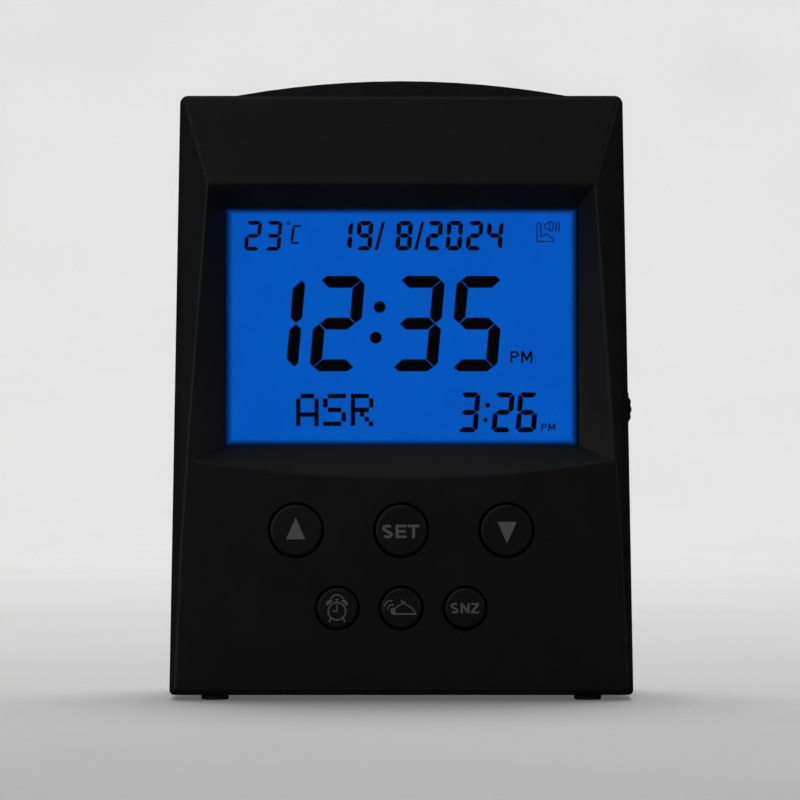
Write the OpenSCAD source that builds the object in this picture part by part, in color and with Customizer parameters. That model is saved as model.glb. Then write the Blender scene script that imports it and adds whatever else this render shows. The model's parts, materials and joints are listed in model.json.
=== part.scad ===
// Free-standing digital azan clock, in millimetres.
// A tapered two-part case leans back on four rubber feet. Its front holds a segment display in a
// deep recess, with three large and three small round keys below it. The edge of a volume wheel
// shows at the right side, and the back has a speaker grille and a hinged battery door.
// Z is up, the display faces -Y, and the origin is the middle of the footprint, on the table.

/* [Case] */
// Width of the case at its foot
base_w = 105.3; // [104.5:0.1:106]
// Depth of the case, from the front edge at the foot to the back
case_d = 50; // [50:0.5:53]
// Height of the front panel, measured along its slope
panel_h = 137.7; // [137.3:0.1:138.5]
// Height of the crown above the table
crown_z = 141.9; // [141.5:0.1:143]
// Radius of the crown's arch, seen from the front
crown_r = 215; // [200:5:260]
// Backward lean of the panel, in degrees
lean_a = 4; // [3.5:0.25:4.5]
// How much each side narrows for every millimetre of height
side_taper = 0.0128; // [0.011:0.0001:0.014]
// Depth of the front shell, up to the parting line
split_w = 18; // [18:0.1:18.4]
// Wall thickness of the front shell
front_t = 2.2; // [2:0.1:2.4]
// Wall thickness of the back shell
back_t = 2; // [1.9:0.1:2.2]
// Radius of the front shell's ridges and side edges
edge_r = 1.1; // [0.9:0.1:1.4]
// Radius of the front shell's upper corners
corner_r = 1.9; // [1.4:0.1:2.2]
// Radius of the back shell's rear edges
rear_r = 5; // [4:0.5:6]
// How far the back shell's outline stays inside the front shell's at the parting line
back_step = 0.4; // [0.2:0.1:0.5]
// Height of the feet below the case
foot_h = 1.1; // [1:0.1:1.4]
// Diameter of the feet
foot_d = 6.2; // [5:0.2:7]
// Distance of each foot from the middle of the case
foot_x = 42.35; // [41:0.05:44]

/* [Display] */
// Depth of the recess in front of the display
recess_d = 6; // [5:0.5:6]
// Width of the visible window
win_w = 81.2; // [79:0.2:81.4]
// Height of the window's lower edge on the panel
win_v0 = 56.8; // [56.6:0.1:58]
// Height of the window's upper edge on the panel
win_v1 = 111.5; // [110:0.1:111.6]
// Droop of the recess's curved lower edge
recess_sag = 4.2; // [3:0.1:4.4]

/* [Keys] */
// Diameter of the three large keys
key_big_d = 11.7; // [11:0.1:12]
// Diameter of the three small keys
key_small_d = 9.2; // [8.8:0.1:9.4]
// Gap between a key and the edge of its hole
key_gap = 0.3; // [0.3:0.05:0.5]
// Radius of the rounded rim of each key hole
key_rim_r = 0.5; // [0.4:0.05:0.9]
// How far the keys stand proud of the panel
key_proud = 0.8; // [0.5:0.1:1.2]
// Spacing of the large keys
pitch_big = 23.9; // [22:0.1:25]
// Spacing of the small keys
pitch_small = 14.5; // [14.2:0.1:15.5]
// Height of the row of large keys on the panel
row_big = 37.2; // [36.5:0.1:38]
// Height of the row of small keys on the panel
row_small = 19.55; // [19:0.05:20]

/* [Volume wheel] */
// Radius of the wheel
wheel_r = 9.5; // [9:0.1:9.6]
// Thickness of the wheel
wheel_t = 2.4; // [2:0.1:2.6]
// Number of teeth in the wheel's knurl
wheel_teeth = 60; // [48:2:64]

/* [Speaker] */
// Outer diameter of the speaker
speaker_d = 36; // [34:0.5:37]
// Radius of each hole in the grille
grille_r = 1; // [0.7:0.1:1.2]
// Spacing of the rings of grille holes
grille_pitch = 4; // [3.6:0.1:4.4]

/* [Power] */
// Diameter of the cells (AA)
cell_d = 14.2; // [13.8:0.1:14.4]
// Length of the cells, with the contact button
cell_l = 50.5; // [49.5:0.1:50.5]

/* [Hidden] */
$fn = 48;

// ---- the leaning frame: x, then w (depth behind the panel), then v (height up the panel)
sa = sin(lean_a);
ca = cos(lean_a);
// How far the case's underside lies below the frame's origin
drop = 0.2;
lean_z = foot_h + drop;
module lean() translate([0, -case_d/2, lean_z]) rotate([-lean_a, 0, 0]) children();
// Height v at which the underside meets the depth w
function under_v(w) = w*tan(lean_a) - drop/ca;
// Half width of the front shell at height v
function hw(v) = base_w/2 - side_taper*v;
// A cylinder along w, from depth w0 to w1
module rod(x, v, w0, w1, r, r2 = -1) translate([x, w0, v]) rotate([-90, 0, 0])
    cylinder(h = w1 - w0, r1 = r, r2 = r2 < 0 ? r : r2);
// A box in the leaning frame
module slab(x0, x1, w0, w1, v0, v1) translate([x0, w0, v0]) cube([x1 - x0, w1 - w0, v1 - v0]);
// A flat shape drawn in x and v, made solid from depth w0 to w1
module prism(w0, w1) translate([0, w1, 0]) rotate([90, 0, 0]) linear_extrude(w1 - w0) children();
// A rectangle with round corners, its lower left corner at x, y
module round_rect(x, y, w, h, r) {
    translate([x + r, y]) square([w - 2*r, h]);
    translate([x, y + r]) square([w, h - 2*r]);
    for (i = [x + r, x + w - r], j = [y + r, y + h - r]) translate([i, j]) circle(r = r);
}

// ---- planes of the front shell, and the point where three planes meet, each moved in by off
function plane_at(n, p) = let(u = n/norm(n)) [u, u*p];
function plane_by(a, b, c) = let(n = cross(b - a, c - a)) plane_at(n[0] < 0 ? -n : n, a);
function meet(p, q, r, off) = ((p[1] - off)*cross(q[0], r[0]) + (q[1] - off)*cross(r[0], p[0])
    + (r[1] - off)*cross(p[0], q[0])) / (p[0]*cross(q[0], r[0]));
// The ridge between the panel and the side facet, from the forehead down to the foot
fore_w = 8.3;
ridge_v = 116.6;
ridge = [[44.2, 0, ridge_v], [48.6, 0, 55], [50.3, 0, 29], [51.6, 0, 0]];
peak = [hw(panel_h), fore_w, panel_h];
p_front = plane_at([0, -1, 0], [0, 0, 0]);
p_top = plane_at([0, 0, 1], [0, 0, panel_h]);
p_bottom = plane_at([0, sa, -ca], [0, 0, under_v(0)]);
p_side = plane_at([1, 0, side_taper], [base_w/2, 0, 0]);
p_fore = plane_at([0, ridge_v - panel_h, fore_w], ridge[0]);
p_rear = plane_at([0, 1, 0], [0, 34, 0]);
facet = [for (i = [0:2]) plane_by(ridge[i], ridge[i + 1], peak)];
corners = [[p_side, p_top, p_fore], [p_front, p_fore, facet[0]], [p_front, facet[0], facet[1]],
    [p_front, facet[1], facet[2]], [p_front, facet[2], p_bottom], [facet[2], p_side, p_bottom],
    [p_side, p_top, p_rear], [p_side, p_bottom, p_rear]];
corner_radii = [corner_r, edge_r, edge_r, edge_r, edge_r + 0.4, edge_r, corner_r, edge_r];
// The front shell's outside, moved in by off, with a ball of radius r[i] in corner i, cut at depth w1
module front_form(off, r, w1, fn) intersection() {
    hull() for (i = [0:7], s = [-1, 1]) let(c = corners[i], p = meet(c[0], c[1], c[2], off + r[i]))
        translate([s*p[0], p[1], p[2]]) sphere(r = r[i], $fn = fn);
    slab(-60, 60, -5, w1, -5, 150);
}

// ---- the recess: its outline at t (0 at the panel, 1 at the window), grown by g
rec_top = [44.15, 116.05];
rec_low = [48.35, 53.25];
function mix(a, b, t) = a + (b - a)*t;
function half_outline(t, g) = let(
    xt = mix(rec_top[0], win_w/2, t) + g, vt = mix(rec_top[1], win_v1, t) + g,
    xb = mix(rec_low[0], win_w/2, t) + g, vb = mix(rec_low[1], win_v0, t) - g,
    sag = recess_sag*(1 - t), r = mix(0.5, 0.4, t) + g/2)
    concat(
        [for (i = [0:3]) [xt - r + r*sin(30*i), vt - r + r*cos(30*i)]],
        [for (i = [1:5]) [mix(xt, xb, i/6), mix(vt - r, vb + r, i/6)]],
        [for (i = [0:3]) [xb - r + r*cos(30*i), vb + r - r*sin(30*i)
            - sag*(1 - pow((xb - r + r*cos(30*i))/xb, 2))]],
        [for (i = [1:7]) let(x = (xb - r)*(1 - i/7.5)) [x, vb - sag*(1 - pow(x/xb, 2))]]);
function outline(t, g) = let(h = half_outline(t, g), n = len(h))
    concat(h, [for (i = [n - 1:-1:0]) [-h[i][0], h[i][1]]]);
// A solid through a row of outlines, each given as [depth, t, g]
module loft(rings) {
    m = len(outline(0, 0));
    k = len(rings);
    polyhedron(
        points = [for (q = rings) for (p = outline(q[1], q[2])) [p[0], q[0], p[1]]],
        faces = concat([[for (i = [0:m - 1]) i]],
            [for (j = [0:k - 2], i = [0:m - 1]) [j*m + i, (j + 1)*m + i, j*m + (i + 1) % m]],
            [for (j = [0:k - 2], i = [0:m - 1])
                [j*m + (i + 1) % m, (j + 1)*m + i, (j + 1)*m + (i + 1) % m]],
            [[for (i = [m - 1:-1:0]) (k - 1)*m + i]]));
}
rd = recess_d;
flange_w = rd + 1;

// ---- keys: [x, v, cap diameter, flange diameter]
keys = [
    [-pitch_big, row_big, key_big_d, key_big_d + 1.9],
    [0, row_big, key_big_d, key_big_d + 1.9],
    [pitch_big, row_big, key_big_d, key_big_d + 1.9],
    [-pitch_small, row_small, key_small_d, key_small_d + 1.8],
    [0, row_small, key_small_d, key_small_d + 1.8],
    [pitch_small, row_small, key_small_d, key_small_d + 1.8]];

// ---- depths of the stack behind the window
lens_t = 1.2;
glass_w = flange_w + 1.3;
glass_t = 1.1;
rear_glass_w = glass_w + glass_t;
guide_w = rear_glass_w + glass_t + 0.2;
guide_t = 2.9;
board_w = flange_w + 7.6;
board_t = 1.6;
back_w = board_w + board_t;

// ---- fixings: board screws and case screws, as [x, v, depth where the boss starts]
board_fix = [[46.2, 18, 1.3], [46.2, 48.5, 1.5], [46.2, 112, 6]];
case_fix = [[40, 10, 1.3], [40, 122, 4.6]];

// ---- back shell
function mid_pts(a, b, n) = [for (i = [0:n]) a + (b - a)*i/n];
crown_v = (crown_z - lean_z + split_w*sa)/ca;
function back_outline(off) = let(i = back_step + off, r = crown_r - off, c = crown_v - crown_r,
    v0 = under_v(split_w) + off, xe = hw(135) - i, xb = hw(v0) - i, k = 1.2)
    concat([[xb, v0 + k], [xb - 0.16*k, v0 + 0.6*k], [xb - 0.6*k, v0 + 0.16*k], [xb - k, v0]],
        [for (p = [k, 0.6*k, 0.16*k, 0], q = [0]) [-xb + p, v0 + (p == k ? 0 : p == 0 ? k
            : p == 0.6*k ? 0.16*k : 0.6*k)]],
        [for (x = mid_pts(-xe, xe, 16)) [x, c + sqrt(r*r - x*x)]]);
rear_y = case_d/2;
// The back stands upright up to bend_z, then slopes forward by slope_a, with a soft bend between
bend_z = 67;
bend_r = 50;
slope_a = 9.4;
top_r = rear_r + 3;
function face_y(z) = rear_y - max(z - bend_z, 0)*tan(slope_a);
function rear_x(z) = base_w/2 - 6.6 - 0.0207*(z - 6);
bend_c = [for (i = [0:3]) let(a = slope_a*i/3) [rear_y - bend_r + (bend_r - rear_r)*cos(a),
    bend_z - bend_r*tan(slope_a/2) + (bend_r - rear_r)*sin(a)]];
// Centres and radii of the balls that round the rear edges
rear_balls = concat(
    [[rear_x(foot_h + rear_r), rear_y - rear_r, foot_h + rear_r, rear_r]],
    [for (c = bend_c) [rear_x(c[1]), c[0], c[1], rear_r]],
    [for (i = [0:3]) let(x = (rear_x(127) - 3)*i/3, z = 131.2 - (190 - sqrt(190*190 - x*x)))
        [x, face_y(z) - top_r/cos(slope_a), z, top_r]]);
module back_form(off, w0, fn) hull() {
    lean() prism(w0, split_w + 0.1) polygon(back_outline(off));
    for (b = rear_balls, s = [-1, 1]) translate([s*b[0], b[1], b[2]]) sphere(r = b[3] - off, $fn = fn);
}

// ---- the sloping upper back, where the speaker sits: local y points out of the back
spk_z = 95;
spk_pos = [0, face_y(spk_z), spk_z];
module at_speaker() translate(spk_pos) rotate([slope_a, 0, 0]) children();
// A ring or disc on the speaker's axis, from n0 to n1 behind the outer face
module disc(n0, n1, r, ri = 0) translate([0, n0, 0]) rotate([-90, 0, 0]) difference() {
    cylinder(h = n1 - n0, r = r, $fn = 64);
    if (ri > 0) translate([0, 0, -1]) cylinder(h = n1 - n0 + 2, r = ri, $fn = 64);
}
grille = concat([[0, 0]], [for (k = [1:3], i = [0:6*k - 1]) [k, 360*i/(6*k)]]);
spk_post_r = speaker_d/2 + 2.6;
spk_fix = [90, 210, 330];

// ---- battery compartment
cell_pitch = 15.3;
cells_z = [for (i = [0:2]) 19.2 + i*cell_pitch];
cell_y = 15.6;
bay = [28.5, 8.4, 11.5, 57.5];
plate_t = 0.4;
door_y = rear_y - back_t;
hinge_y = rear_y - 1.8;
hinge_z = 10.2;
barrel_r = 1.8;
pin_r = 0.8;
door_x = 31;
door_top = 59.8;

// ---- volume wheel
wheel_v = 66.1;
wheel_x = hw(wheel_v) + 1.37 - wheel_r;
wheel_w = 18.8;

// ---- a round wire through a list of points
function ring_dir(p, i) = let(n = len(p), a = p[max(i - 1, 0)], b = p[min(i + 1, n - 1)]) (b - a)/norm(b - a);
module wire(p, r, sides = 8) {
    n = len(p);
    function side(d) = let(u = cross(d, abs(d[0]) < 0.8 ? [1, 0, 0] : [0, 0, 1])) u/norm(u);
    polyhedron(
        points = [for (i = [0:n - 1]) let(d = ring_dir(p, i), u = side(d), q = cross(d, u))
            for (k = [0:sides - 1]) p[i] + r*(cos(360*k/sides)*u + sin(360*k/sides)*q)],
        faces = concat([[for (k = [0:sides - 1]) k]],
            [for (i = [0:n - 2], k = [0:sides - 1])
                [i*sides + k, (i + 1)*sides + k, i*sides + (k + 1) % sides]],
            [for (i = [0:n - 2], k = [0:sides - 1])
                [i*sides + (k + 1) % sides, (i + 1)*sides + k, (i + 1)*sides + (k + 1) % sides]],
            [[for (k = [sides - 1:-1:0]) (n - 1)*sides + k]]));
}
// Points between the given ones, on a smooth curve through them
function curve(p, m) = let(n = len(p)) concat([for (i = [0:n - 2], j = [0:m - 1]) let(t = j/m,
    a = p[max(i - 1, 0)], b = p[i], c = p[i + 1], d = p[min(i + 2, n - 1)])
    0.5*((2*b) + (c - a)*t + (2*a - 5*b + 4*c - d)*t*t + (3*b - a - 3*c + d)*t*t*t)], [p[n - 1]]);

// ==== the case ====

module key_hole(k) translate([k[0], 0, k[1]]) rotate([-90, 0, 0]) rotate_extrude($fn = 96)
    let(r = k[2]/2 + key_gap, f = key_rim_r) polygon(concat(
        [[0, -0.1], [r + f + 0.5, -0.1]],
        [for (i = [0:4]) [r + f*(1 - sin(22.5*i)), f*(1 - cos(22.5*i))]],
        [[r, 3], [0, 3]]));

module front_shell() color([0.14, 0.14, 0.15]) difference() {
    lean() difference() {
        union() {
            difference() {
                front_form(0, corner_radii, split_w, 32);
                front_form(front_t, [for (i = corner_radii) 0.8], split_w + 2, 16);
            }
            // walls of the recess, and the flat frame that the lens rests on
            loft([[1, 1/rd, 1.7], [2.5, 2.5/rd, 2.4], [rd - 0.2, 1, 2.6], [rd + 0.5, 1, 2.6]]);
            slab(-43.4, 43.4, rd - 0.8, flange_w, 53.6, 114.6);
            // rings that guide the key flanges
            for (k = keys) rod(k[0], k[1], 1.2, 5, k[3]/2 + 1.3);
            // bosses for the board screws and the case screws
            for (s = [-1, 1], b = board_fix) rod(s*b[0], b[1], b[2], board_w, 2.5);
            for (s = [-1, 1]) {
                rod(s*case_fix[0][0], case_fix[0][1], case_fix[0][2], split_w, 3.25);
                difference() {
                    union() {
                        rod(s*case_fix[1][0], case_fix[1][1], case_fix[1][2], split_w, 3.25);
                        slab(s*40 - 1, s*40 + 1, 3, 14, 115.3, 136);
                    }
                    // nothing of these stands out through the forehead
                    translate([-60, 1.1, ridge_v]) rotate([-atan2(fore_w, panel_h - ridge_v), 0, 0])
                        translate([0, -30, -60]) cube([120, 30, 120]);
                }
            }
        }
        // the recess, with a softened rim, and the window
        loft([[-1, 0, 0.32], [0, 0, 0.32], [0.07, 0.07/rd, 0.16], [0.2, 0.2/rd, 0.05],
            [0.45, 0.45/rd, 0], [rd, 1, 0], [flange_w + 1, 1, 0]]);
        // key holes, with rounded rims, and the wells for the key flanges
        for (k = keys) {
            key_hole(k);
            rod(k[0], k[1], front_t, 6, k[3]/2 + 0.3);
        }
        // pilot holes
        for (s = [-1, 1], b = board_fix) rod(s*b[0], b[1], b[2] + 1.6, board_w + 1, 1.05);
        for (s = [-1, 1]) {
            rod(s*case_fix[0][0], case_fix[0][1], 4, split_w + 1, 1.3);
            rod(s*case_fix[1][0], case_fix[1][1], 8, split_w + 1, 1.3);
        }
    }
    for (s = [-1, 1]) translate([s*foot_x, -case_d/2 + 5, foot_h - 1])
        cylinder(h = 1.8, r = foot_d/2 + 0.1);
}

module back_shell() color([0.13, 0.13, 0.14]) difference() {
    union() {
        difference() {
            intersection() {
                back_form(0, split_w, 40);
                lean() slab(-60, 60, split_w, 70, -10, 150);
            }
            back_form(back_t, split_w - 0.5, 20);
        }
        intersection() {
            back_form(0.6, split_w - 0.1, 24);
            lean() {
                // the crown's front wall, above the front shell
                slab(-52, 52, split_w, split_w + 2, 133, 145);
                // pillars for the case screws
                for (s = [-1, 1], b = case_fix) rod(s*b[0], b[1], split_w + 0.05, 60, 3.5);
            }
        }
        lean() {
            // tongues that slip inside the front shell
            slab(-33, 33, split_w - 1.2, split_w + 1.5, panel_h - front_t - 1.2, panel_h - front_t - 0.12);
            slab(-33, 33, split_w - 1.2, split_w + 2.5, under_v(split_w) + front_t + 0.12,
                under_v(split_w) + front_t + 1.2);
            slab(-33, 33, split_w, split_w + 2.5, under_v(split_w) + 1.2,
                under_v(split_w) + front_t + 1.2);
            for (s = [-1, 1], q = [[24, 42], [77, 104]]) {
                prism(split_w - 1.2, split_w + 2.5) polygon([for (p = [[2.32, q[0]], [2.32, q[1]],
                    [3.32, q[1]], [3.32, q[0]]]) [s*(hw(p[1]) - p[0]), p[1]]]);
                prism(split_w, split_w + 2.5) polygon([for (p = [[1.5, q[0]], [1.5, q[1]],
                    [3.32, q[1]], [3.32, q[0]]]) [s*(hw(p[1]) - p[0]), p[1]]]);
            }
        }
        // battery compartment, and the ledge round its mouth
        translate([-bay[0] - 1.6, bay[1] - 1.6, bay[2] - 1.6])
            cube([2*bay[0] + 3.2, door_y - bay[1] + 1.6, bay[3] - bay[2] + 3.2]);
        translate([-door_x - 2.5, door_y - 1.6, hinge_z - 3.8])
            cube([2*door_x + 5, 1.8, door_top - hinge_z + 6]);
        translate([-bay[0] - 1.6, door_y - 4.8, hinge_z - 3.8]) cube([2*bay[0] + 3.2, 4.9, 6]);
        translate([-10, door_y - 1.6, door_top]) cube([20, 1.8, 8.6]);
        // speaker seat
        at_speaker() {
            disc(-3.6, -1.8, speaker_d/2 + 1.6, speaker_d/2 + 0.3);
            for (a = spk_fix) rotate([0, a, 0]) translate([spk_post_r, 0, 0]) disc(-3.68, -1.8, 2.4);
        }
    }
    // inside of the compartment, open at the back
    translate([-bay[0], bay[1], bay[2]]) cube([2*bay[0], 20, bay[3] - bay[2]]);
    // slots for the contact tabs
    for (q = [[28.25, cells_z[2]], [-28.25, cells_z[0]]])
        translate([q[0] - 0.35, bay[1] - 2, q[1] - 1.8]) cube([0.7, 2.4, 3.6]);
    // mouth for the door, room for its hinge barrel, and the bores for its two pins
    translate([-door_x - 0.3, door_y, hinge_z - barrel_r - 0.3])
        cube([2*door_x + 0.6, 3, door_top - hinge_z + barrel_r + 0.6]);
    translate([-door_x - 0.3, door_y - 2.2, hinge_z - barrel_r - 0.3])
        cube([2*door_x + 0.6, 2.4, 2*barrel_r + 0.6]);
    translate([-door_x - 1.6, hinge_y, hinge_z]) rotate([0, 90, 0])
        cylinder(h = 2*door_x + 3.2, r = pin_r + 0.05);
    // notch for the door's tab, and a shallow scoop for a fingertip
    translate([-6.3, door_y, door_top]) cube([12.6, 3, 1.8]);
    translate([0, rear_y + 12.8, door_top + 4]) sphere(r = 14, $fn = 64);
    // screw holes, sunk from the back
    lean() for (s = [-1, 1], b = case_fix) {
        rod(s*b[0], b[1], split_w - 1, 24, 1.4);
        rod(s*b[0], b[1], 21, 60, 2.7);
    }
    // grille
    at_speaker() {
        for (g = grille) rotate([0, g[1], 0]) translate([g[0]*grille_pitch, 0, 0])
            disc(-4, 3, grille_r);
        for (a = spk_fix) rotate([0, a, 0]) translate([spk_post_r, 0, 0]) disc(-4, -1, 0.85);
    }
    // slot for the volume wheel
    lean() slab(44, 56, split_w - 1, wheel_w + wheel_t + 0.6, wheel_v - 8.5, wheel_v + 8.5);
    // pockets for the feet
    for (s = [-1, 1]) translate([s*foot_x, rear_y - 9.5, foot_h - 1]) cylinder(h = 1.8, r = foot_d/2 + 0.1);
}

module battery_door() color([0.13, 0.13, 0.14]) {
    difference() {
        union() {
            translate([-door_x, door_y + 0.02, hinge_z]) cube([2*door_x, back_t - 0.02, door_top - hinge_z]);
            translate([-door_x, hinge_y, hinge_z]) rotate([0, 90, 0]) cylinder(h = 2*door_x, r = barrel_r);
            translate([-door_x - 1.4, hinge_y, hinge_z]) rotate([0, 90, 0])
                cylinder(h = 2*door_x + 2.8, r = pin_r);
            // tab that springs behind the case
            translate([-6, door_y + 0.02, door_top - 1]) cube([12, 1.1, 2.3]);
        }
        // grooves for grip
        for (i = [0:3]) translate([-9, rear_y - 0.5, door_top - 7 - 2.2*i]) cube([18, 1, 1]);
        // sunk arrow that points the way the tab is pushed
        translate([0, rear_y - 0.4, door_top - 17.2]) rotate([-90, 0, 0]) linear_extrude(2)
            polygon([[-2.6, 0], [2.6, 0], [0, 3.6]]);
        // slits that let the tab bend
        for (s = [-1, 1]) translate([s*7.2 - 0.4, door_y - 1, door_top - 5]) cube([0.8, 4, 6]);
    }
    // ribs that reach between the cells and steady them
    for (i = [0:1]) translate([-22, door_y - 1.4, cells_z[i] + cell_pitch/2 - 0.6])
        cube([44, 1.5, 1.2]);
}

// ==== the display ====

module lcd_lens() color([0.75, 0.85, 0.95, 0.4]) lean()
    prism(flange_w + 0.02, flange_w + lens_t) round_rect(-41.6, 55.15, 83.2, 58, 1.2);

module lcd_front_glass() color([0.1, 0.4, 0.85, 0.8]) lean()
    prism(glass_w, glass_w + glass_t - 0.02) round_rect(-41.7, 51.2, 83.4, 61.9, 0.4);

module lcd_rear_glass() color([0.1, 0.4, 0.85, 0.8]) lean()
    prism(rear_glass_w, rear_glass_w + glass_t) round_rect(-41.7, 55.9, 83.4, 57.2, 0.4);

module light_guide() color([0.85, 0.9, 1, 0.7]) lean() difference() {
    prism(guide_w, guide_w + guide_t) round_rect(-41.4, 56, 81.1, 57, 0.4);
    for (v = [68, 84.5, 101]) slab(39, 40, guide_w - 1, guide_w + guide_t + 1, v - 2, v + 2);
}

module backlight_reflector() color("white") lean()
    prism(guide_w + guide_t + 0.05, guide_w + guide_t + 0.3) round_rect(-41.4, 56, 82.8, 57, 0.4);

module backlight_leds() color([0.9, 0.95, 1]) lean() for (v = [68, 84.5, 101]) {
    slab(39.9, 41.6, guide_w + 0.2, guide_w + guide_t, v - 2.3, v + 2.3);
    rotate([0, 0, 0]) slab(39.2, 40, guide_w + 0.7, guide_w + 2.3, v - 1.6, v + 1.6);
}

module lcd_holder() color([0.85, 0.85, 0.82]) lean() difference() {
    slab(-43.5, 43.5, flange_w + 0.05, board_w - 0.02, 50.4, 115);
    slab(-41.9, 41.9, flange_w - 1, board_w + 1, 55.7, 113.3);
    slab(-41.9, 41.9, flange_w - 1, rear_glass_w + 0.03, 51, 56);
    slab(-38.6, 38.6, flange_w - 1, board_w + 1, 51.3, 54.3);
}

module zebra_connector() color([0.75, 0.5, 0.6]) lean() {
    slab(-38.3, 38.3, rear_glass_w, board_w, 51.5, 52.3);
    color([0.2, 0.2, 0.2]) slab(-38.3, 38.3, rear_glass_w, board_w, 52.3, 53.3);
    slab(-38.3, 38.3, rear_glass_w, board_w, 53.3, 54.1);
}

// ==== the board ====

module main_board() color([0.1, 0.4, 0.22]) lean() difference() {
    prism(board_w, back_w) round_rect(-48, 14.3, 96, 103.2, 1.5);
    for (s = [-1, 1], b = board_fix) rod(s*b[0], b[1], board_w - 1, back_w + 1, 1.2);
}

module controller_chip() color([0.1, 0.1, 0.1]) lean() {
    slab(-7, 7, back_w + 0.15, back_w + 1.5, 53, 67);
    for (i = [-5:5], s = [-1, 1]) {
        slab(i*1.1 - 0.2, i*1.1 + 0.2, back_w, back_w + 0.5, 60 + s*7.6 - 0.7, 60 + s*7.6 + 0.7);
        slab(s*7.6 - 0.7, s*7.6 + 0.7, back_w, back_w + 0.5, 60 + i*1.1 - 0.2, 60 + i*1.1 + 0.2);
    }
}

module audio_chip() color([0.1, 0.1, 0.1]) lean() {
    slab(17, 27, back_w + 0.15, back_w + 2.1, 76.2, 83.8);
    for (i = [-3.5:3.5], s = [-1, 1])
        slab(22 + i*1.2 - 0.2, 22 + i*1.2 + 0.2, back_w, back_w + 0.6, 80 + s*4.3 - 0.7, 80 + s*4.3 + 0.7);
}

module quartz_crystal() color([0.8, 0.8, 0.82]) lean() {
    translate([-18, back_w + 1.5, 52]) rotate([0, 90, 0]) cylinder(h = 8, r = 1.5);
    for (s = [-1, 1]) translate([-20, back_w + 1.5, 52 + s*0.5]) rotate([0, 90, 0])
        cylinder(h = 2.2, r = 0.2, $fn = 16);
}

module capacitors() color([0.15, 0.2, 0.45]) lean() for (p = [[-34, 82], [-34, 92], [36, 40]]) {
    rod(p[0], p[1], back_w, back_w + 1, 3.15);
    rod(p[0], p[1], back_w + 1, back_w + 1.6, 2.85);
    rod(p[0], p[1], back_w + 1.6, back_w + 7.4, 3.15);
}

module temperature_sensor() color([0.2, 0.2, 0.2]) lean() {
    for (s = [-1, 1]) rod(30 + s*0.7, 22, back_w, back_w + 3.2, 0.25);
    translate([30, back_w + 3.6, 22]) sphere(r = 1.3, $fn = 32);
}

module tact_switches() color([0.25, 0.25, 0.27]) lean() for (k = keys) translate([k[0], 0, k[1]]) {
    difference() {
        slab(-3, 3, board_w - 3.5, board_w, -3, 3);
        rod(0, 0, board_w - 4, board_w - 0.9, 1.75);
    }
    for (s = [-1, 1], q = [-2.25, 2.25]) slab(min(s*2.9, s*4.2), max(s*2.9, s*4.2),
        board_w - 0.4, board_w, q - 0.35, q + 0.35);
}

// ==== keys and switch plungers ====

// A moulded key cap: rounded rim, hollow behind, flange, and a stem that meets the switch
module key(k) lean() translate([k[0], 0, k[1]]) rotate([-90, 0, 0]) rotate_extrude($fn = 96)
    let(r = k[2]/2, f = k[3]/2, e = 0.6) polygon(concat(
        [[0, -key_proud]],
        [for (i = [0:5]) [r - e + e*sin(18*i), -key_proud + e - e*cos(18*i)]],
        [[r, 2.55], [f, 2.55], [f, 3.4], [r - 1.2, 3.4], [r - 1.2, 0.7], [2, 0.7],
            [2, board_w - 6], [0, board_w - 6]]));
module plunger(k) lean() rod(k[0], k[1], board_w - 6, board_w - 2.2, 1.7);

module key_up() color([0.12, 0.12, 0.13]) key(keys[0]);
module key_set() color([0.12, 0.12, 0.13]) key(keys[1]);
module key_down() color([0.12, 0.12, 0.13]) key(keys[2]);
module key_alarm() color([0.12, 0.12, 0.13]) key(keys[3]);
module key_azan() color([0.12, 0.12, 0.13]) key(keys[4]);
module key_snooze() color([0.12, 0.12, 0.13]) key(keys[5]);
module plunger_up() color([0.85, 0.85, 0.8]) plunger(keys[0]);
module plunger_set() color([0.85, 0.85, 0.8]) plunger(keys[1]);
module plunger_down() color([0.85, 0.85, 0.8]) plunger(keys[2]);
module plunger_alarm() color([0.85, 0.85, 0.8]) plunger(keys[3]);
module plunger_azan() color([0.85, 0.85, 0.8]) plunger(keys[4]);
module plunger_snooze() color([0.85, 0.85, 0.8]) plunger(keys[5]);

// ==== volume control ====

module volume_pot() color([0.3, 0.3, 0.32]) lean() difference() {
    slab(wheel_x - 5, wheel_x + 4, back_w, back_w + 2.1, wheel_v - 5.5, wheel_v + 5.5);
    rod(wheel_x, wheel_v, back_w + 0.4, back_w + 3, 1.55);
}

module volume_wheel() color([0.12, 0.12, 0.13]) lean() {
    difference() {
        translate([wheel_x, 0, wheel_v]) prism(wheel_w, wheel_w + wheel_t) polygon(
            [for (i = [0:2*wheel_teeth - 1]) let(a = 180*i/wheel_teeth + 45/wheel_teeth,
                r = (floor((i + 1)/2) % 2 == 0) ? wheel_r : wheel_r - 0.2) r*[cos(a), sin(a)]]);
        rod(wheel_x, wheel_v, wheel_w + wheel_t - 0.6, wheel_w + wheel_t + 1, wheel_r - 2.2);
    }
    rod(wheel_x, wheel_v, wheel_w + wheel_t - 0.8, wheel_w + wheel_t, 2.6);
    rod(wheel_x, wheel_v, back_w + 0.5, wheel_w + 0.5, 1.5);
    rod(wheel_x, wheel_v, back_w + 2.2, wheel_w + 0.5, 2.4);
}

// ==== speaker ====

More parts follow.
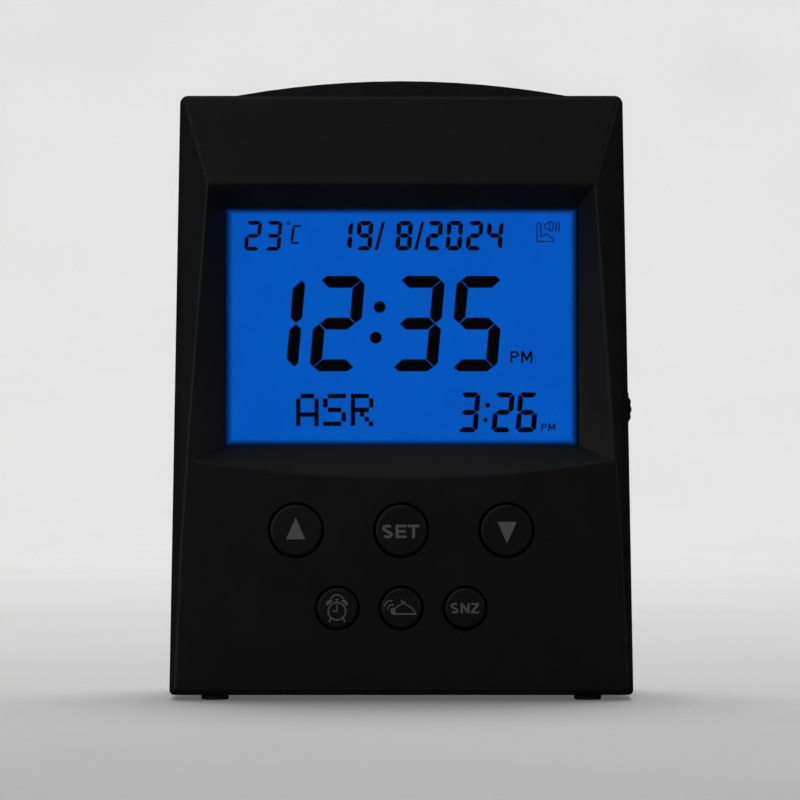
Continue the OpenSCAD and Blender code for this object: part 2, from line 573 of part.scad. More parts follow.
module speaker_basket() color([0.55, 0.56, 0.58]) at_speaker() difference() {
    rotate([-90, 0, 0]) rotate_extrude($fn = 64) let(r = speaker_d/2) polygon([
        [r - 2.8, -3.6], [r - 2.8, -2.8], [r, -2.8], [r, -3.7], [r - 1.6, -3.7], [10.4, -9.2],
        [10.4, -9.8], [0, -9.8], [0, -9], [9.6, -9], [r - 2.9, -3.9]]);
    for (a = [45:90:315]) rotate([0, a, 0]) translate([12.6, -8.4, 0]) rotate([-90, 0, 0])
        cylinder(h = 4, r = 1.9);
}

module speaker_magnet() color([0.2, 0.2, 0.21]) at_speaker() {
    disc(-13.8, -9.82, 10);
    disc(-14.6, -13.8, 8.6);
}

module speaker_cone() color([0.16, 0.16, 0.16]) at_speaker() rotate([-90, 0, 0])
    rotate_extrude($fn = 64) let(r = speaker_d/2 - 2.9) polygon([
        [0, -5.3], [2, -5.4], [4, -5.9], [5.2, -6.6], [r - 3.4, -3.5], [r - 2.6, -2.9],
        [r - 1.6, -2.7], [r - 0.7, -2.9], [r - 0.05, -3.3], [r - 0.05, -3.7], [r - 0.7, -3.3],
        [r - 1.6, -3.1], [r - 2.6, -3.3], [r - 3.4, -3.95], [5.4, -7.1], [4, -6.4], [2, -5.9],
        [0, -5.8]]);

module speaker_gasket() color([0.1, 0.1, 0.1]) at_speaker()
    disc(-2.78, -2.06, speaker_d/2 - 0.2, speaker_d/2 - 2.8);

module speaker_screws() color([0.75, 0.75, 0.76]) at_speaker() for (a = spk_fix) rotate([0, a, 0])
    translate([spk_post_r, 0, 0]) {
        disc(-4.1, -3.72, 3.3);
        disc(-5.4, -4.1, 1.9);
        disc(-3.8, -2.2, 0.8);
    }

// ==== power ====

// A cell along x with its contact button towards s
module cell(i, s) translate([0, cell_y, cells_z[i]]) rotate([0, s*90, 0]) {
    e = bay[0] - plate_t;
    translate([0, 0, e - cell_l]) cylinder(h = cell_l - 1.3, r = cell_d/2);
    translate([0, 0, e - 1.4]) cylinder(h = 1.38, r = 2.75);
}
module battery_1() color([0.2, 0.2, 0.22]) cell(0, 1);
module battery_2() color([0.2, 0.2, 0.22]) cell(1, -1);
module battery_3() color([0.2, 0.2, 0.22]) cell(2, 1);

// Conical contact springs between each cell's flat end and its plate
module battery_springs() color([0.8, 0.8, 0.8]) for (i = [0:2]) let(s = i == 1 ? 1 : -1,
    a = bay[0] - plate_t - 0.42, b = cell_l - (bay[0] - plate_t) + 0.42, m = 44)
    wire([for (j = [0:m]) let(t = j/m, r = 5.2 - 2.4*t, q = 360*3.7*t)
        [s*(a + (b - a)*t), cell_y + r*cos(q), cells_z[i] + r*sin(q)]], 0.35, 6);

module battery_plates() color([0.78, 0.78, 0.76]) {
    e = bay[0] - plate_t;
    // across the ends of two cells, right and left
    translate([e, cell_y - 5.5, cells_z[0] - 5.5]) cube([plate_t, 11, cell_pitch + 11]);
    translate([-e - plate_t, cell_y - 5.5, cells_z[1] - 5.5]) cube([plate_t, 11, cell_pitch + 11]);
    // the two end contacts, with tabs that reach through the front of the compartment
    for (q = [[e, 2], [-e - plate_t, 0]]) {
        translate([q[0], cell_y - 5.5, cells_z[q[1]] - (q[1] == 2 ? 4.6 : 5.5)])
            cube([plate_t, 11, q[1] == 2 ? 10.1 : 9.6]);
        translate([q[0], 5.6, cells_z[q[1]] - 1.5]) cube([plate_t, 6, 3]);
    }
}

spk_wire = [[0, 18.8, 77.4], [0, 14.5, 75.5], [0.5, 8, 73], [1, 2, 72], [1, -1.5, 72.2], [1, -3.75, 72.2]];
module speaker_wires() for (s = [-1, 1]) color(s > 0 ? [0.7, 0.1, 0.1] : [0.1, 0.1, 0.1])
    wire([for (p = curve(spk_wire, 4)) [s*(3 + p[0]), p[1], p[2]]], 0.6);

module battery_wires() {
    color([0.7, 0.1, 0.1]) wire(curve([[28.3, 5.4, 49.8], [28, 3.5, 50.5], [26, 1, 54], [23, -1.5, 59],
        [20, -2.6, 61], [20, -4.42, 61]], 4), 0.6);
    color([0.1, 0.1, 0.1]) wire(curve([[-28.3, 5.4, 19.2], [-28, 3.5, 20.5], [-27, 2, 30], [-26, 1, 44],
        [-23, -1, 57], [-20, -2.6, 61], [-20, -4.42, 61]], 4), 0.6);
}

// ==== fixings ====

module case_screws() color([0.6, 0.6, 0.62]) lean() for (s = [-1, 1], b = case_fix) difference() {
    union() {
        rod(s*b[0], b[1], 21.05, 22.9, 2.4);
        rod(s*b[0], b[1], b[1] > 100 ? 8.6 : 6, 21.2, 1.25);
    }
    slab(s*b[0] - 1.5, s*b[0] + 1.5, 22.1, 24, b[1] - 0.25, b[1] + 0.25);
    slab(s*b[0] - 0.25, s*b[0] + 0.25, 22.1, 24, b[1] - 1.5, b[1] + 1.5);
}

module board_screws() color([0.75, 0.75, 0.76]) lean() for (s = [-1, 1], b = board_fix) {
    rod(s*b[0], b[1], back_w + 0.02, back_w + 1.3, 1.9);
    rod(s*b[0], b[1], max(b[2] + 1.8, 8), back_w + 0.1, 1);
}

// ==== feet ====

module foot(x, y) color([0.08, 0.08, 0.08]) translate([x, y, 0]) rotate_extrude($fn = 64)
    polygon([[0, 0], [foot_d/2 - 0.35, 0], [foot_d/2 - 0.1, 0.12], [foot_d/2, 0.4],
        [foot_d/2, foot_h + 0.78], [0, foot_h + 0.78]]);
module foot_front_left() foot(-foot_x, -case_d/2 + 5);
module foot_front_right() foot(foot_x, -case_d/2 + 5);
module foot_rear_left() foot(-foot_x, rear_y - 9.5);
module foot_rear_right() foot(foot_x, rear_y - 9.5);

front_shell();
back_shell();
battery_door();
lcd_lens();
lcd_front_glass();
lcd_rear_glass();
light_guide();
backlight_reflector();
backlight_leds();
lcd_holder();
zebra_connector();
main_board();
controller_chip();
audio_chip();
quartz_crystal();
capacitors();
temperature_sensor();
tact_switches();
key_up();
key_set();
key_down();
key_alarm();
key_azan();
key_snooze();
plunger_up();
plunger_set();
plunger_down();
plunger_alarm();
plunger_azan();
plunger_snooze();
volume_pot();
volume_wheel();
speaker_basket();
speaker_magnet();
speaker_cone();
speaker_gasket();
speaker_screws();
battery_1();
battery_2();
battery_3();
battery_springs();
battery_plates();
speaker_wires();
battery_wires();
case_screws();
board_screws();
foot_front_left();
foot_front_right();
foot_rear_left();
foot_rear_right();
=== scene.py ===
import bpy
import bmesh
import json
import math
from mathutils import Matrix, Vector

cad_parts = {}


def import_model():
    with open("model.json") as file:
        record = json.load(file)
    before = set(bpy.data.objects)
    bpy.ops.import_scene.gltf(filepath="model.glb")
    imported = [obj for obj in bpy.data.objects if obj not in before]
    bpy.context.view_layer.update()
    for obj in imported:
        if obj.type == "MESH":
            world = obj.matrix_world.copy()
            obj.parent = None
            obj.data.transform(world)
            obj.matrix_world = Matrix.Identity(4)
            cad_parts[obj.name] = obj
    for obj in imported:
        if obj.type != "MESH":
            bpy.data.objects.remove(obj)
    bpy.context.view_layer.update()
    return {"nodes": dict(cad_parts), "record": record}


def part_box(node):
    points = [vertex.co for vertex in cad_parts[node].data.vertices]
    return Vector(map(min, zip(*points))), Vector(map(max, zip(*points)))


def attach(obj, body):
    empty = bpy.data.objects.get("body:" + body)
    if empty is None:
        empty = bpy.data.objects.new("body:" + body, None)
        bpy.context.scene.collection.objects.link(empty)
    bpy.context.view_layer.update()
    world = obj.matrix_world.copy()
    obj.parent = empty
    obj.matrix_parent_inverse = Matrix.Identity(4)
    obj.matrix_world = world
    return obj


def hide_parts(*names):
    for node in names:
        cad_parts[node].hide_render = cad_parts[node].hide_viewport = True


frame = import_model()
NODES = frame["nodes"]
scene = bpy.context.scene

# ---------------------------------------------------------------- frame of the leaning panel
# Millimetres in the panel's own frame: x, w (depth behind the panel), v (height up the panel).
LEAN = math.radians(4.0)
SA, CA = math.sin(LEAN), math.cos(LEAN)
HALF_D, FOOT = 25.0, 1.3
PX = 0.2265            # millimetres that one pixel of the frame spans at the front of the foot
CAM = (-0.305, -1225.0, 68.01)


def world(x, w, v):
    return Vector((x, -HALF_D + w * CA + v * SA, FOOT - w * SA + v * CA)) * 0.001


def at(px, py, w):
    """The place (x, v) on the plane at depth w that the camera sees at a point of the frame."""
    xa, za = (px - 401.33) * PX, (699.8 - py) * PX
    v = za
    for _ in range(5):
        f = 1 + (w * CA + v * SA) / 1200
        z = CAM[2] + (za - CAM[2]) * f
        v = (z - FOOT + w * SA) / CA
    return CAM[0] + (xa - CAM[0]) * f, v


# ---------------------------------------------------------------- camera, lights and floor
cam_data = bpy.data.cameras.new("camera")
cam_data.sensor_width = 36.0
cam_data.lens = 36.0 * 1200 / (800 * PX)
cam_data.clip_start, cam_data.clip_end = 0.05, 30
cam = bpy.data.objects.new("camera", cam_data)
cam.location = Vector(CAM) * 0.001
cam.rotation_euler = (math.radians(90), 0, 0)
scene.collection.objects.link(cam)
scene.camera = cam
scene.view_settings.view_transform = "Standard"
scene.view_settings.look = "None"
scene.view_settings.exposure = 0.0


def area(name, place, aim, size, power, color=(1, 1, 1), size_y=None):
    d = bpy.data.lights.new(name, "AREA")
    d.shape = "RECTANGLE"
    d.size, d.size_y = size, size_y or size
    d.energy, d.color = power, color
    o = bpy.data.objects.new(name, d)
    o.location = place
    o.rotation_euler = (Vector(aim) - Vector(place)).to_track_quat("-Z", "Y").to_euler()
    o.visible_camera = False
    scene.collection.objects.link(o)
    LIGHTS.append(o)
    return o


LIGHTS = []
area("key_light", (-1.05, -0.85, 0.85), (0, 0, 0.07), 0.6, 1.55, (1, 0.99, 0.97))
area("near_light", (-0.3, -0.6, 0.35), (0, 0, 0.07), 0.25, 0.52, (1, 0.99, 0.98))
area("side_light", (-0.6, -0.3, 0.15), (0, 0, 0.07), 0.25, 0.57, (1, 0.99, 0.98))
area("upper_light", (-0.2, -0.35, 0.45), (0, 0, 0.07), 0.25, 0.1)
area("top_light", (-0.2, -0.1, 1.5), (0, 0.1, 0.0), 0.8, 3.1)
area("fill_light", (1.2, -0.6, 0.5), (0, 0, 0.05), 0.5, 1.95, (0.97, 0.98, 1))
area("rear_left_light", (-0.7, 1.3, 0.5), (0, 0, 0.07), 0.6, 12.0, (1, 0.99, 0.98))
area("rear_right_light", (0.9, 1.2, 0.5), (0, 0, 0.07), 0.6, 7.0, (0.98, 0.99, 1))
floor_light = area("floor_light", (0, 0.9, 1.9), (0, 0.9, 0.0), 1.5, 24.0)
soft_floor_light = area("soft_floor_light", (0, 0.9, 1.9), (0, 0.9, 0.0), 1.5, 12.0)

w = bpy.data.worlds.new("studio")
scene.world = w
w.use_nodes = True
wn = w.node_tree.nodes
sky = wn.new("ShaderNodeMapRange")
up = wn.new("ShaderNodeSeparateXYZ")
w.node_tree.links.new(wn.new("ShaderNodeTexCoord").outputs["Generated"], up.inputs[0])
w.node_tree.links.new(up.outputs["Z"], sky.inputs[0])
for i, val in ((1, 0.15), (2, 0.9), (3, 0.018), (4, 0.08)):
    sky.inputs[i].default_value = val
w.node_tree.links.new(sky.outputs[0], wn["Background"].inputs[1])
wn["Background"].inputs[0].default_value = (0.95, 0.97, 1.0, 1)


# ---------------------------------------------------------------- materials
class Mat:
    """A Principled material whose texture coordinates are millimetres of the row frame."""

    def __init__(self, name, base=(0.5, 0.5, 0.5), rough=0.5, metal=0.0, spec=0.5, **more):
        self.m = bpy.data.materials.new(name)
        self.m.use_nodes = True
        self.nt = self.m.node_tree
        self.nt.nodes.clear()
        self.out = self.nt.nodes.new("ShaderNodeOutputMaterial")
        self.b = self.nt.nodes.new("ShaderNodeBsdfPrincipled")
        self.link(self.b.outputs[0], self.out.inputs[0])
        self.b.inputs["Base Color"].default_value = (*base, 1)
        self.b.inputs["Roughness"].default_value = rough
        self.b.inputs["Metallic"].default_value = metal
        self.b.inputs["Specular IOR Level"].default_value = spec
        for k, val in more.items():
            self.b.inputs[k.replace("_", " ")].default_value = val
        tc = self.nt.nodes.new("ShaderNodeTexCoord")
        self.mm = self.mapped(tc.outputs["Object"], scale=(1000, 1000, 1000))

    def link(self, a, b):
        self.nt.links.new(a, b)

    def mapped(self, vec, scale=(1, 1, 1), rot=(0, 0, 0), loc=(0, 0, 0)):
        n = self.nt.nodes.new("ShaderNodeMapping")
        n.inputs["Location"].default_value = loc
        n.inputs["Rotation"].default_value = rot
        n.inputs["Scale"].default_value = scale
        self.link(vec, n.inputs["Vector"])
        return n.outputs[0]

    def lean(self):
        """Coordinates (x, w, v) of the leaning panel, in millimetres."""
        t = Matrix.Rotation(LEAN, 3, "X") @ Vector((0, -HALF_D, FOOT))
        return self.mapped(self.mm, rot=(LEAN, 0, 0), loc=tuple(-t))

    def noise(self, scale, detail=3.0, rough=0.5, vec=None, stretch=None, kind="noise"):
        vec = vec or self.mm
        if stretch:
            vec = self.mapped(vec, scale=stretch)
        if kind == "noise":
            n = self.nt.nodes.new("ShaderNodeTexNoise")
            n.inputs["Detail"].default_value = detail
            n.inputs["Roughness"].default_value = rough
            n.inputs["Scale"].default_value = scale
            self.link(vec, n.inputs["Vector"])
            return n.outputs[0]
        n = self.nt.nodes.new("ShaderNodeTexVoronoi")
        n.inputs["Scale"].default_value = scale
        self.link(vec, n.inputs["Vector"])
        return n.outputs["Distance"]

    def range(self, fac, a, b, lo=0.0, hi=1.0, smooth=False):
        n = self.nt.nodes.new("ShaderNodeMapRange")
        n.interpolation_type = "SMOOTHSTEP" if smooth else "LINEAR"
        n.clamp = True
        for i, val in ((1, a), (2, b), (3, lo), (4, hi)):
            n.inputs[i].default_value = val
        self.link(fac, n.inputs[0])
        return n.outputs[0]

    def math(self, op, a, b=None):
        n = self.nt.nodes.new("ShaderNodeMath")
        n.operation = op
        for i, val in enumerate((a, b)):
            if val is None:
                continue
            if isinstance(val, (int, float)):
                n.inputs[i].default_value = val
            else:
                self.link(val, n.inputs[i])
        return n.outputs[0]

    def mix(self, fac, a, b, mode="MIX"):
        n = self.nt.nodes.new("ShaderNodeMix")
        n.data_type = "RGBA"
        n.blend_type = mode
        if isinstance(fac, (int, float)):
            n.inputs[0].default_value = fac
        else:
            self.link(fac, n.inputs[0])
        for i, val in ((6, a), (7, b)):
            if isinstance(val, tuple):
                n.inputs[i].default_value = (*val, 1)
            else:
                self.link(val, n.inputs[i])
        return n.outputs[2]

    def split(self, vec):
        n = self.nt.nodes.new("ShaderNodeSeparateXYZ")
        self.link(vec, n.inputs[0])
        return n.outputs

    def bump(self, height, dist, strength=1.0, below=None):
        n = self.nt.nodes.new("ShaderNodeBump")
        n.inputs["Strength"].default_value = strength
        n.inputs["Distance"].default_value = dist
        self.link(height, n.inputs["Height"])
        if below is not None:
            self.link(below, n.inputs["Normal"])
        self.link(n.outputs[0], self.b.inputs["Normal"])
        return n.outputs[0]

    def color(self, socket):
        self.link(socket, self.b.inputs["Base Color"])
        return self

    def rough(self, socket):
        self.link(socket, self.b.inputs["Roughness"])
        return self


def plastic(name, base, rough=0.5, grain=5.0, depth=0.00002, spec=0.15, vary=0.16, dust=0.0):
    """Moulded plastic: spark-eroded grain, slight colour and gloss variation, faint dust."""
    m = Mat(name, base, rough, spec=spec)
    lo = tuple(c * (1 - vary) for c in base)
    hi = tuple(c * (1 + vary) for c in base)
    body = m.mix(m.range(m.noise(0.09, 4, 0.6), 0.35, 0.65), lo, hi)
    fine = m.noise(grain, 3, 0.65)
    body = m.mix(m.range(fine, 0.3, 0.75, 0.0, 0.4), body, tuple(c * 1.5 for c in base))
    if dust:
        specks = m.range(m.noise(0.9, kind="voronoi"), 0.012, 0.05, dust, 0.0, True)
        patch = m.range(m.noise(0.35, 2), 0.52, 0.7)
        body = m.mix(m.math("MULTIPLY", specks, patch), body, (0.2, 0.2, 0.2))
    m.color(body)
    m.rough(m.math("ADD", m.range(m.noise(0.25, 4), 0.3, 0.7, -0.04, 0.04),
                   m.range(fine, 0.3, 0.7, rough - 0.05, rough + 0.07)))
    grainy = m.bump(fine, depth, 0.8)
    m.bump(m.noise(0.05, 2), 0.00025, 0.5, below=grainy)
    return m


def metal(name, base, rough=0.3, brushed=(1, 1, 1), stain=0.25):
    m = Mat(name, base, rough, metal=1.0)
    tarnish = m.range(m.noise(0.6, 5, 0.6), 0.45, 0.75, 0.0, stain)
    m.color(m.mix(tarnish, base, tuple(c * 0.45 for c in base)))
    lines = m.noise(3.0, 3, stretch=brushed)
    m.rough(m.range(lines, 0.3, 0.7, rough - 0.08, rough + 0.12))
    m.bump(lines, 0.00001, 0.5)
    return m


CHAR = (0.0060, 0.0061, 0.0064)
MATS = {}
MATS["case_front"] = plastic("moulded_charcoal_front", CHAR, 0.47, dust=0.25)
MATS["case_back"] = plastic("moulded_charcoal_back", (0.0085, 0.0086, 0.0090), 0.5, dust=0.25)
MATS["door"] = plastic("moulded_charcoal_door", (0.0085, 0.0086, 0.0090), 0.49, dust=0.2)
MATS["key_plastic"] = plastic("moulded_charcoal_keys", (0.0061, 0.0062, 0.0065), 0.42, grain=7.0, depth=0.000012)
MATS["wheel_plastic"] = plastic("moulded_charcoal_wheel", (0.0065, 0.0065, 0.0068), 0.45, grain=6.0)

# window: clear acrylic with faint wipe marks
m = Mat("clear_window", (0.97, 0.98, 1.0), 0.03, spec=0.2, Transmission_Weight=1.0, IOR=1.49)
wipe = m.noise(0.5, 4, 0.6, stretch=(1, 1, 0.15))
m.rough(m.range(wipe, 0.4, 0.75, 0.02, 0.07))
m.bump(m.noise(0.06, 2), 0.00003, 0.3)
MATS["window"] = m

# display glass: an even blue backlight glow, with painted shade of the window frame darkening it at the window's border
m = Mat("display_blue", (0.0, 0.01, 0.05), 0.35, spec=0.1)
x_, w_, v_ = m.split(m.lean())
# painted shade: a mask that fades the emission towards black near the window's border, where the frame shades the
# display
border_shade_mask = m.math("MINIMUM",
              m.math("MINIMUM", m.range(x_, -40.72, -38.6), m.range(x_, 40.54, 38.74)),
              m.math("MINIMUM", m.range(v_, 56.6, 58.45), m.range(v_, 111.72, 110.12)))
painted_border_shade = m.math("MULTIPLY", border_shade_mask, border_shade_mask)
across = m.range(x_, -40, 40, 0.0, 1.0)
clouds = m.range(m.noise(0.07, 3, 0.55), 0.35, 0.65)
hue = m.mix(m.math("MULTIPLY", clouds, 0.8), (0.0, 0.0868, 0.479), (0.0, 0.1025, 0.532))
hue = m.mix(m.math("MULTIPLY", across, 0.25), hue, (0.0, 0.0955, 0.537))
grid = m.range(m.noise(1.6, 2), 0.3, 0.7, 0.97, 1.03)
# painted shade: the border mask darkens the emission colour at the window's edge
hue = m.mix(1.0, hue, m.mix(m.math("MULTIPLY", painted_border_shade, grid), (0, 0, 0), (1, 1, 1)), "MULTIPLY")
m.link(hue, m.b.inputs["Emission Color"])
m.b.inputs["Emission Strength"].default_value = 1.06
m.rough(m.range(clouds, 0, 1, 0.3, 0.4))
MATS["lcd_glass"] = m

# liquid-crystal segments: almost black, with a trace of the glow behind
m = Mat("display_segments", (0.002, 0.003, 0.006), 0.6, spec=0.02)
m.color(m.mix(m.range(m.noise(1.2, 3), 0.35, 0.65), (0.0006, 0.0008, 0.0015), (0.001, 0.002, 0.005)))
MATS["segments"] = m
# finer marks let some of the glow through
m = Mat("display_marks", (0.0, 0.006, 0.03), 0.6, spec=0.1)
m.color(m.mix(m.range(m.noise(1.5, 3), 0.35, 0.65), (0.0, 0.004, 0.02), (0.0, 0.008, 0.04)))
m.b.inputs["Emission Color"].default_value = (0.0, 0.007, 0.055, 1)
m.b.inputs["Emission Strength"].default_value = 1.0
MATS["marks"] = m

# printed legends on the keys: light grey ink, a little uneven
m = Mat("legend_ink", (0.3, 0.3, 0.3), 0.55, spec=0.3)
ink = m.noise(4.0, 4, 0.6)
m.color(m.mix(m.range(ink, 0.3, 0.7), (0.082, 0.082, 0.084), (0.114, 0.114, 0.117)))
m.bump(ink, 0.00001, 0.6)
MATS["legend"] = m

MATS["guide"] = Mat("light_guide_acrylic", (0.9, 0.95, 1.0), 0.15, Transmission_Weight=0.8)
MATS["guide"].bump(MATS["guide"].noise(1.2, kind="voronoi"), 0.00005, 0.6)
MATS["reflector"] = plastic("reflector_film", (0.85, 0.86, 0.87), 0.35, grain=2.0, spec=0.5, vary=0.03)
MATS["led"] = plastic("led_body", (0.8, 0.78, 0.6), 0.35, grain=3.0, spec=0.5, vary=0.05)
MATS["frame_plastic"] = plastic("holder_plastic", (0.62, 0.62, 0.58), 0.5, grain=3.0, spec=0.4, vary=0.05)
m = Mat("zebra_rubber", (0.4, 0.2, 0.25), 0.7)
stripes = m.math("FRACT", m.math("MULTIPLY", m.split(m.mm)[0], 4.0))
m.color(m.mix(m.range(stripes, 0.45, 0.55), (0.03, 0.03, 0.03), (0.45, 0.2, 0.24)))
MATS["zebra"] = m

m = Mat("circuit_board", (0.01, 0.09, 0.035), 0.35, spec=0.5)
lx, lw, lv = m.split(m.lean())
trace_a = m.range(m.math("ABSOLUTE", m.math("SUBTRACT", m.math("FRACT", m.math("MULTIPLY", lx, 0.42)), 0.5)), 0.10, 0.13, 1, 0)
trace_b = m.range(m.math("ABSOLUTE", m.math("SUBTRACT", m.math("FRACT", m.math("MULTIPLY", lv, 0.36)), 0.5)), 0.08, 0.11, 1, 0)
zone = m.range(m.noise(0.06, 1), 0.47, 0.5)
lines = m.math("MAXIMUM", m.math("MULTIPLY", trace_a, zone), m.math("MULTIPLY", trace_b, m.math("SUBTRACT", 1.0, zone)))
m.color(m.mix(lines, (0.006, 0.06, 0.025), (0.015, 0.13, 0.05)))
m.bump(lines, 0.00004, 0.8)
MATS["board"] = m
MATS["chip"] = plastic("chip_epoxy", (0.012, 0.012, 0.013), 0.55, grain=6.0)
MATS["can_metal"] = metal("crystal_can", (0.72, 0.72, 0.7), 0.25)
m = plastic("capacitor_sleeve", (0.02, 0.03, 0.11), 0.35, grain=2.0, spec=0.5)
MATS["capacitor"] = m
MATS["sensor"] = plastic("sensor_bead", (0.02, 0.018, 0.015), 0.3, grain=4.0, spec=0.5)
MATS["switch"] = plastic("switch_body", (0.05, 0.05, 0.052), 0.45, grain=4.0)
MATS["plunger"] = plastic("plunger_nylon", (0.6, 0.6, 0.55), 0.45, grain=3.0, vary=0.05)
MATS["pot"] = plastic("pot_body", (0.06, 0.06, 0.065), 0.45, grain=4.0)
MATS["basket"] = metal("plated_steel", (0.55, 0.56, 0.57), 0.3)
MATS["magnet"] = plastic("ferrite", (0.03, 0.03, 0.031), 0.6, grain=2.0)
m = Mat("speaker_paper", (0.012, 0.012, 0.012), 0.8, spec=0.2)
fib = m.noise(2.5, 5, 0.7)
m.color(m.mix(m.range(fib, 0.3, 0.7), (0.008, 0.008, 0.008), (0.02, 0.02, 0.02)))
m.bump(fib, 0.00006, 0.8)
MATS["cone"] = m
MATS["gasket"] = plastic("gasket_foam", (0.01, 0.01, 0.01), 0.85, grain=2.5, depth=0.0001)
MATS["screw_metal"] = metal("zinc_screw", (0.5, 0.5, 0.51), 0.28)
MATS["cell"] = plastic("cell_sleeve", (0.02, 0.02, 0.022), 0.3, grain=1.0, spec=0.5)
MATS["contact"] = metal("nickel_contact", (0.72, 0.70, 0.66), 0.25, (1, 1, 0.2))
m = plastic("wire_sheath", (0.3, 0.02, 0.02), 0.45, grain=3.0)
# red on the positive side of the case, black on the other
tint = m.mix(m.range(m.noise(0.5, 3), 0.3, 0.7), (0.26, 0.012, 0.010), (0.34, 0.02, 0.016))
m.color(m.mix(m.range(m.split(m.mm)[0], -0.1, 0.1), (0.012, 0.012, 0.012), tint))
MATS["lead"] = m
MATS["foot_rubber"] = plastic("foot_rubber", (0.012, 0.012, 0.012), 0.8, grain=3.0, depth=0.00005, spec=0.3)

# ---------------------------------------------------------------- surfaces of the CAD nodes


def smoother(angle):
    """A modifier group that joins split vertices and shades smooth, except across sharp edges."""
    g = bpy.data.node_groups.new(f"shade_by_angle_{angle}", "GeometryNodeTree")
    g.interface.new_socket("Geometry", in_out="INPUT", socket_type="NodeSocketGeometry")
    g.interface.new_socket("Geometry", in_out="OUTPUT", socket_type="NodeSocketGeometry")
    gi, go = g.nodes.new("NodeGroupInput"), g.nodes.new("NodeGroupOutput")
    rem = g.nodes.new("GeometryNodeRemoveAttribute")
    rem.inputs["Name"].default_value = "custom_normal"
    weld = g.nodes.new("GeometryNodeMergeByDistance")
    weld.inputs["Distance"].default_value = 0.000004
    flat = g.nodes.new("GeometryNodeSetShadeSmooth")
    flat.domain = "FACE"
    sharp = g.nodes.new("GeometryNodeSetShadeSmooth")
    sharp.domain = "EDGE"
    sharp.inputs["Shade Smooth"].default_value = False
    reset = g.nodes.new("GeometryNodeSetShadeSmooth")
    reset.domain = "EDGE"
    ang = g.nodes.new("GeometryNodeInputMeshEdgeAngle")
    comp = g.nodes.new("FunctionNodeCompare")
    comp.data_type, comp.operation = "FLOAT", "GREATER_THAN"
    comp.inputs[1].default_value = math.radians(angle)
    g.links.new(gi.outputs[0], rem.inputs[0])
    g.links.new(rem.outputs[0], weld.inputs[0])
    g.links.new(weld.outputs[0], flat.inputs[0])
    g.links.new(flat.outputs[0], reset.inputs[0])
    g.links.new(reset.outputs[0], sharp.inputs[0])
    g.links.new(ang.outputs["Unsigned Angle"], comp.inputs[0])
    g.links.new(comp.outputs[0], sharp.inputs["Selection"])
    g.links.new(sharp.outputs[0], go.inputs[0])
    return g


SMOOTH = smoother(32)


def dress(name, mat, bevel=0.0, weighted=True):
    """Gives a CAD node its material, soft shading and, where asked, softened edges."""
    o = NODES[name]
    if not o.material_slots:
        o.data.materials.append(mat.m)
    for s in o.material_slots:
        s.material = mat.m
    o.modifiers.new("shade", "NODES").node_group = SMOOTH
    if bevel:
        b = o.modifiers.new("soft_edges", "BEVEL")
        b.width = bevel * 0.001
        b.segments = 2
        b.limit_method = "ANGLE"
        b.angle_limit = math.radians(50)
        b.use_clamp_overlap = False
        b.harden_normals = False
    if weighted:
        n = o.modifiers.new("weighted", "WEIGHTED_NORMAL")
        n.mode = "FACE_AREA"
        n.weight = 50
        n.keep_sharp = True
    return o


SLOT_OF = {s["node"]: s["material_slot"] for s in frame["record"]["subparts"]}
BEVELS = {"battery_door": 0.15, "controller_chip": 0.1, "audio_chip": 0.1}
for name in NODES:
    dress(name, MATS[SLOT_OF[name]], BEVELS.get(name, 0.0))

# ---------------------------------------------------------------- building pieces


def piece(name, bm, mats, body, smooth=None):
    me = bpy.data.meshes.new(name)
    bmesh.ops.recalc_face_normals(bm, faces=bm.faces)
    bm.to_mesh(me)
    bm.free()
    for mat in mats if isinstance(mats, (list, tuple)) else [mats]:
        me.materials.append(mat.m)
    if smooth is not None:
        me.shade_smooth()
        me.set_sharp_from_angle(angle=math.radians(smooth))
    o = bpy.data.objects.new(name, me)
    scene.collection.objects.link(o)
    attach(o, body)
    return o


def prism(bm, poly, w0, w1, place=None, mat=0):
    """Adds a flat shape, a list of (x, v) or of points of the frame, from depth w0 to w1."""
    pts = [place(p, w0) for p in poly] if place else list(poly)
    front = [bm.verts.new(world(x, w0, v)) for x, v in pts]
    back = [bm.verts.new(world(x, w1, v)) for x, v in pts]
    n = len(pts)
    faces = [bm.faces.new(front), bm.faces.new(back[::-1])]
    faces += [bm.faces.new((front[i], back[i], back[(i + 1) % n], front[(i + 1) % n])) for i in range(n)]
    for f in faces:
        f.material_index = mat
    return faces


def ring(bm, outer, inner, w0, w1, place=None, closed=True):
    """Adds a band between two outlines with the same number of points."""
    if place:
        outer = [place(p, w0) for p in outer]
        inner = [place(p, w0) for p in inner]
    rows = [[bm.verts.new(world(x, w, v)) for x, v in loop]
            for loop, w in ((outer, w0), (inner, w0), (inner, w1), (outer, w1))]
    n = len(outer)
    for i in range(n if closed else n - 1):
        j = (i + 1) % n
        for a in range(4):
            r, s = rows[a], rows[(a + 1) % 4]
            bm.faces.new((r[i], r[j], s[j], s[i]))
    if not closed:
        for i in (0, n - 1):
            bm.faces.new([r[i] for r in rows])


def on_frame(p, w):
    return at(p[0], p[1], w)


def on_lcd(p, w):
    return at(p[0], p[1] - 0.23, w)


def on_key(dx):
    """Places legend outlines, shifted by dx pixels of the frame."""
    return lambda p, w: at(p[0] + dx, p[1] - 0.5, w)


def circle(cx, cy, r, n=32, ry=None):
    return [(cx + r * math.cos(2 * math.pi * i / n), cy + (ry or r) * math.sin(2 * math.pi * i / n)) for i in range(n)]


def arc(cx, cy, r, a0, a1, n=12, ry=None):
    """Points on an arc; angles in degrees, anticlockwise as seen, with y down."""
    return [(cx + r * math.cos(math.radians(a0 + (a1 - a0) * i / n)),
             cy - (ry or r) * math.sin(math.radians(a0 + (a1 - a0) * i / n))) for i in range(n + 1)]


